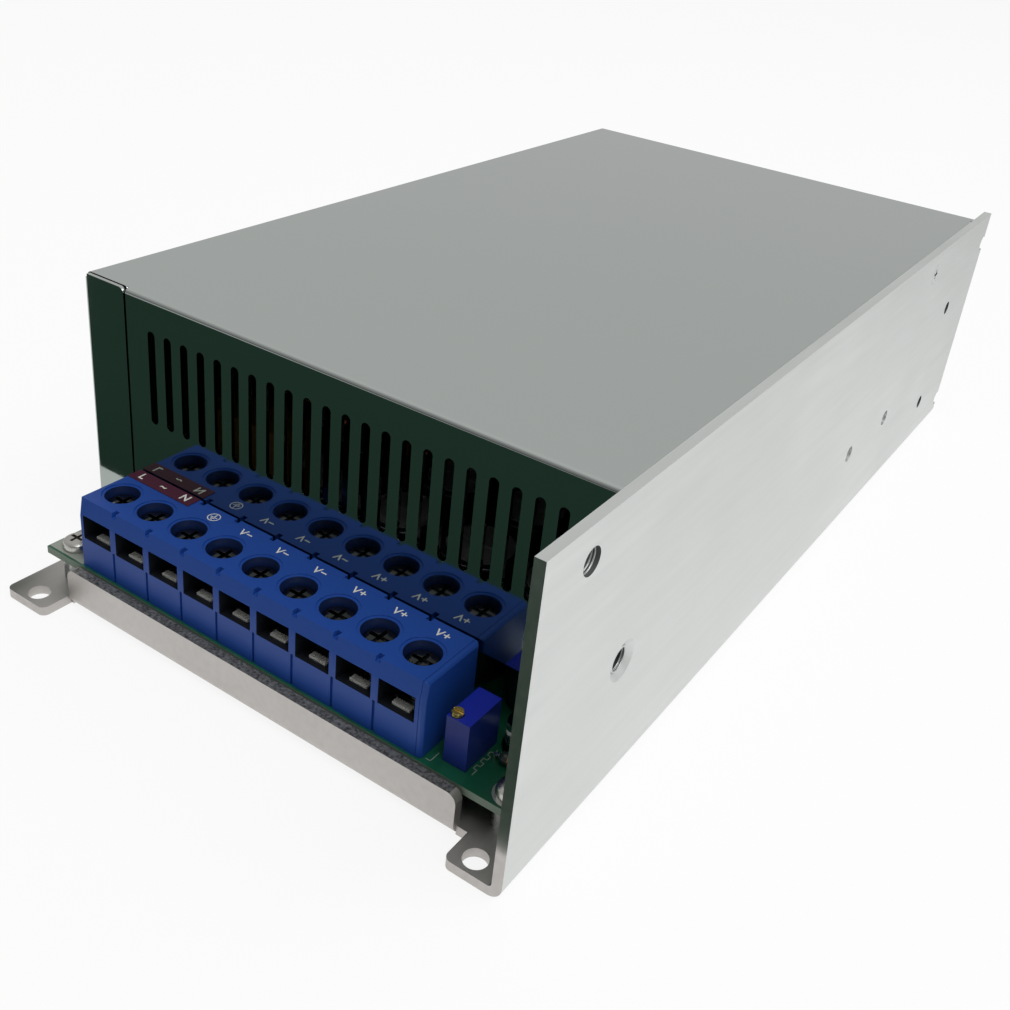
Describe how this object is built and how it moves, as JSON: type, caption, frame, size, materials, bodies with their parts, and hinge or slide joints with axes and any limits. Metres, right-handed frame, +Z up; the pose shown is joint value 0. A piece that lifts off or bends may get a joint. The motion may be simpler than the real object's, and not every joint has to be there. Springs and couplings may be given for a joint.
{
  "type": "mesh case switching power supply",
  "caption": "Metal case power supply for panel mounting, with a slotted cover, a row of screw terminals, an output trimmer and a rear cooling fan.",
  "frame": {"origin": "middle of the case's underside, level with its bottom face", "axes": "+X across towards the tall side wall, +Y along the case from the terminals to the fan, +Z up"},
  "size_m": [0.125, 0.24, 0.065],
  "materials": {
    "aluminium_sheet": "mill finish, lightly brushed",
    "polished_cover": "polished sheet",
    "zinc_screw": "zinc plated",
    "nickel_screw": "nickel plated",
    "green_board": "solder resist",
    "black_film": "polyester film",
    "blue_nylon": "moulded nylon",
    "maroon_label": "printed film",
    "tinned_metal": "tinned",
    "trimmer_blue": "moulded",
    "brass_screw": "turned",
    "led_lens": "clear lens",
    "resistor_body": "lacquered",
    "fuse_glass": "clear",
    "thermistor_coat": "dipped coat",
    "film_yellow": "moulded case",
    "disc_blue": "dipped coat",
    "ferrite": "sintered",
    "copper_wire": "enamelled",
    "sleeve_black": "heat-shrink sleeve",
    "moulded_black": "moulded epoxy",
    "tape_yellow": "polyester tape",
    "pad_grey": "silicone pad",
    "powder_core": "epoxy coat",
    "fan_black": "moulded",
    "plated_wire": "plated wire",
    "lead_red": "sleeved lead",
    "header_white": "nylon"
  },
  "bodies": {
    "supply": {"chassis": "aluminium_sheet", "cover": "polished_cover", "cover_screws": "zinc_screw", "main_circuit_board": "green_board", "board_standoffs": "zinc_screw", "board_screws": "nickel_screw", "insulating_sheet": "black_film", "terminal_housing": "blue_nylon", "terminal_end_plate": "blue_nylon", "terminal_label": "maroon_label", "terminal_contacts": "tinned_metal", "trimpot_body": "trimmer_blue", "power_led": "led_lens", "led_resistor": "resistor_body", "fuse": "fuse_glass", "inrush_thermistor": "thermistor_coat", "x_capacitor": "film_yellow", "y_capacitors": "disc_blue", "line_choke_core": "ferrite", "line_choke_winding": "copper_wire", "bulk_capacitors": "sleeve_black", "bridge_rectifier": "moulded_black", "transformer_core": "ferrite", "transformer_winding": "tape_yellow", "drive_transformer": "tape_yellow", "power_transistors": "moulded_black", "insulator_pads": "pad_grey", "clamp_bar": "zinc_screw", "clamp_screws": "zinc_screw", "rectifier_heatsink": "aluminium_sheet", "rectifier_diodes": "moulded_black", "output_choke_core": "powder_core", "output_choke_winding": "copper_wire", "output_capacitors": "sleeve_black", "control_chips": "moulded_black", "fan_frame": "fan_black", "fan_guard": "plated_wire", "fan_screws": "zinc_screw", "fan_lead": "lead_red", "fan_header": "header_white"},
    "clamp_1": {"clamp_plate_1": "nickel_screw"},
    "screw_1": {"terminal_screw_1": "nickel_screw"},
    "clamp_2": {"clamp_plate_2": "nickel_screw"},
    "screw_2": {"terminal_screw_2": "nickel_screw"},
    "clamp_3": {"clamp_plate_3": "nickel_screw"},
    "screw_3": {"terminal_screw_3": "nickel_screw"},
    "clamp_4": {"clamp_plate_4": "nickel_screw"},
    "screw_4": {"terminal_screw_4": "nickel_screw"},
    "clamp_5": {"clamp_plate_5": "nickel_screw"},
    "screw_5": {"terminal_screw_5": "nickel_screw"},
    "clamp_6": {"clamp_plate_6": "nickel_screw"},
    "screw_6": {"terminal_screw_6": "nickel_screw"},
    "clamp_7": {"clamp_plate_7": "nickel_screw"},
    "screw_7": {"terminal_screw_7": "nickel_screw"},
    "clamp_8": {"clamp_plate_8": "nickel_screw"},
    "screw_8": {"terminal_screw_8": "nickel_screw"},
    "clamp_9": {"clamp_plate_9": "nickel_screw"},
    "screw_9": {"terminal_screw_9": "nickel_screw"},
    "trimmer": {"trimpot_screw": "brass_screw"},
    "rotor": {"fan_rotor": "fan_black"}
  },
  "joints": [
    {"name": "clamp_slide_1", "type": "slide", "parent": "supply", "child": "clamp_1", "axis": [0, 0, -1], "range_m": [0, 0.0046]},
    {"name": "screw_turn_1", "type": "hinge", "parent": "clamp_1", "child": "screw_1", "pos_m": [-0.0433, -0.104, 0.0225], "axis": [0, 0, -1], "range_deg": [0, 2366]},
    {"name": "clamp_slide_2", "type": "slide", "parent": "supply", "child": "clamp_2", "axis": [0, 0, -1], "range_m": [0, 0.0046]},
    {"name": "screw_turn_2", "type": "hinge", "parent": "clamp_2", "child": "screw_2", "pos_m": [-0.0338, -0.104, 0.0225], "axis": [0, 0, -1], "range_deg": [0, 2366]},
    {"name": "clamp_slide_3", "type": "slide", "parent": "supply", "child": "clamp_3", "axis": [0, 0, -1], "range_m": [0, 0.0046]},
    {"name": "screw_turn_3", "type": "hinge", "parent": "clamp_3", "child": "screw_3", "pos_m": [-0.0243, -0.104, 0.0225], "axis": [0, 0, -1], "range_deg": [0, 2366]},
    {"name": "clamp_slide_4", "type": "slide", "parent": "supply", "child": "clamp_4", "axis": [0, 0, -1], "range_m": [0, 0.0046]},
    {"name": "screw_turn_4", "type": "hinge", "parent": "clamp_4", "child": "screw_4", "pos_m": [-0.0148, -0.104, 0.0225], "axis": [0, 0, -1], "range_deg": [0, 2366]},
    {"name": "clamp_slide_5", "type": "slide", "parent": "supply", "child": "clamp_5", "axis": [0, 0, -1], "range_m": [0, 0.0046]},
    {"name": "screw_turn_5", "type": "hinge", "parent": "clamp_5", "child": "screw_5", "pos_m": [-0.0053, -0.104, 0.0225], "axis": [0, 0, -1], "range_deg": [0, 2366]},
    {"name": "clamp_slide_6", "type": "slide", "parent": "supply", "child": "clamp_6", "axis": [0, 0, -1], "range_m": [0, 0.0046]},
    {"name": "screw_turn_6", "type": "hinge", "parent": "clamp_6", "child": "screw_6", "pos_m": [0.0042, -0.104, 0.0225], "axis": [0, 0, -1], "range_deg": [0, 2366]},
    {"name": "clamp_slide_7", "type": "slide", "parent": "supply", "child": "clamp_7", "axis": [0, 0, -1], "range_m": [0, 0.0046]},
    {"name": "screw_turn_7", "type": "hinge", "parent": "clamp_7", "child": "screw_7", "pos_m": [0.0137, -0.104, 0.0225], "axis": [0, 0, -1], "range_deg": [0, 2366]},
    {"name": "clamp_slide_8", "type": "slide", "parent": "supply", "child": "clamp_8", "axis": [0, 0, -1], "range_m": [0, 0.0046]},
    {"name": "screw_turn_8", "type": "hinge", "parent": "clamp_8", "child": "screw_8", "pos_m": [0.0232, -0.104, 0.0225], "axis": [0, 0, -1], "range_deg": [0, 2366]},
    {"name": "clamp_slide_9", "type": "slide", "parent": "supply", "child": "clamp_9", "axis": [0, 0, -1], "range_m": [0, 0.0046]},
    {"name": "screw_turn_9", "type": "hinge", "parent": "clamp_9", "child": "screw_9", "pos_m": [0.0327, -0.104, 0.0225], "axis": [0, 0, -1], "range_deg": [0, 2366]},
    {"name": "trimpot_turn", "type": "hinge", "parent": "supply", "child": "trimmer", "pos_m": [0.04285, -0.1071, 0.019], "axis": [0, 0, -1], "continuous": true},
    {"name": "fan_spin", "type": "hinge", "parent": "supply", "child": "rotor", "pos_m": [-0.0105, 0.0985, 0.0328], "axis": [0, 1, 0], "continuous": true}
  ],
  "couplings": [
    {"joint": "screw_turn_1", "follows": "clamp_slide_1", "rad_per_m": 8976},
    {"joint": "screw_turn_2", "follows": "clamp_slide_2", "rad_per_m": 8976},
    {"joint": "screw_turn_3", "follows": "clamp_slide_3", "rad_per_m": 8976},
    {"joint": "screw_turn_4", "follows": "clamp_slide_4", "rad_per_m": 8976},
    {"joint": "screw_turn_5", "follows": "clamp_slide_5", "rad_per_m": 8976},
    {"joint": "screw_turn_6", "follows": "clamp_slide_6", "rad_per_m": 8976},
    {"joint": "screw_turn_7", "follows": "clamp_slide_7", "rad_per_m": 8976},
    {"joint": "screw_turn_8", "follows": "clamp_slide_8", "rad_per_m": 8976},
    {"joint": "screw_turn_9", "follows": "clamp_slide_9", "rad_per_m": 8976}
  ]
}
